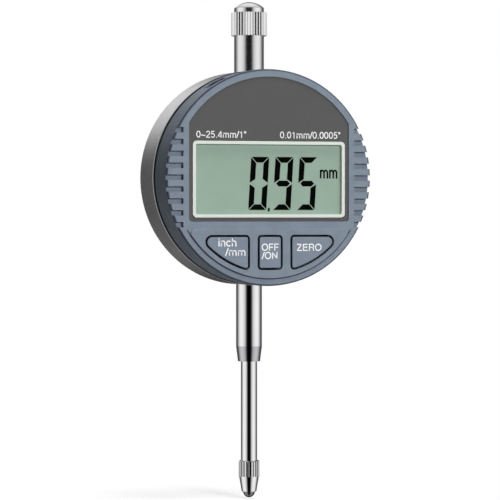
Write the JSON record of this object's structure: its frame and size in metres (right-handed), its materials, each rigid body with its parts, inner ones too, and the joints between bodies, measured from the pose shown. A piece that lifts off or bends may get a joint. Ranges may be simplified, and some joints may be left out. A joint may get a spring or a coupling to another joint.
{
  "type": "digital indicator",
  "caption": "Round-cased digital plunger indicator with a display, press keys, a knurled dust cap, an 8 mm clamping stem and a spring-loaded spindle with a ball contact.",
  "frame": {"origin": "on the spindle axis, halfway along the 8 mm cylinder of the stem", "axes": "+Z along the spindle, from the contact ball to the dust cap; -Y out of the display; +X to the right of someone who reads it"},
  "size_m": [0.0656, 0.0428, 0.1524],
  "materials": {
    "bezel": "satin moulding",
    "button": "satin moulding",
    "panel": "smooth",
    "display_frame": "smooth",
    "display": "reflective polariser",
    "black_plastic": "matte",
    "elastomer": "matte",
    "board": "solder mask",
    "black_rubber": "matte",
    "case_metal": "fine satin",
    "steel": "plain",
    "brass": "turned",
    "polished_steel": "ground and polished",
    "carbide": "polished",
    "aluminium": "milled"
  },
  "bodies": {
    "case": {"front_bezel": "bezel", "face_panel": "panel", "lcd_frame": "display_frame", "lcd_glass": "display", "lcd_holder": "black_plastic", "upper_zebra_strip": "elastomer", "lower_zebra_strip": "elastomer", "main_board": "board", "controller_chip": "black_plastic", "keypad": "elastomer", "case_gasket": "black_rubber", "rear_body": "case_metal", "back_cover": "case_metal", "case_screws": "steel", "battery_holder": "black_plastic", "battery": "steel", "battery_contacts": "brass", "data_port": "black_plastic", "stem": "polished_steel", "lower_stem_bush": "brass", "upper_stem_bush": "brass", "top_bush": "brass", "guard_tube": "polished_steel", "bump_washer": "black_rubber", "guide_rail": "aluminium", "rail_screws": "steel", "return_spring": "steel"},
    "plunger": {"spindle": "polished_steel", "contact_point": "polished_steel", "contact_ball": "carbide", "spindle_carrier": "aluminium", "carrier_screw": "steel", "slider_plate": "board", "guide_pin": "steel"},
    "key_inch_mm": {"button_inch_mm": "button"},
    "key_off_on": {"button_off_on": "button"},
    "key_zero": {"button_zero": "button"},
    "cap": {"dust_cap": "polished_steel"},
    "battery_lid": {"battery_cover": "steel"}
  },
  "joints": [
    {"name": "spindle_slide", "type": "slide", "parent": "case", "child": "plunger", "axis": [0, 0, 1], "range_m": [0, 0.0254], "stiffness_N_per_m": 20, "springref_m": -0.05, "deforming": ["return_spring"]},
    {"name": "inch_mm_press", "type": "slide", "parent": "case", "child": "key_inch_mm", "axis": [0, 1, 0], "range_m": [0, 0.0004], "stiffness_N_per_m": 400, "springref_m": -0.001},
    {"name": "off_on_press", "type": "slide", "parent": "case", "child": "key_off_on", "axis": [0, 1, 0], "range_m": [0, 0.0004], "stiffness_N_per_m": 400, "springref_m": -0.001},
    {"name": "zero_press", "type": "slide", "parent": "case", "child": "key_zero", "axis": [0, 1, 0], "range_m": [0, 0.0004], "stiffness_N_per_m": 400, "springref_m": -0.001},
    {"name": "dust_cap_lift", "type": "slide", "parent": "case", "child": "cap", "axis": [0, 0, 1], "range_m": [0, 0.012]},
    {"name": "battery_cover_turn", "type": "hinge", "parent": "case", "child": "battery_lid", "pos_m": [0.01718, 0.0068, 0.04188], "axis": [0, 1, 0], "range_deg": [0, 40]}
  ]
}
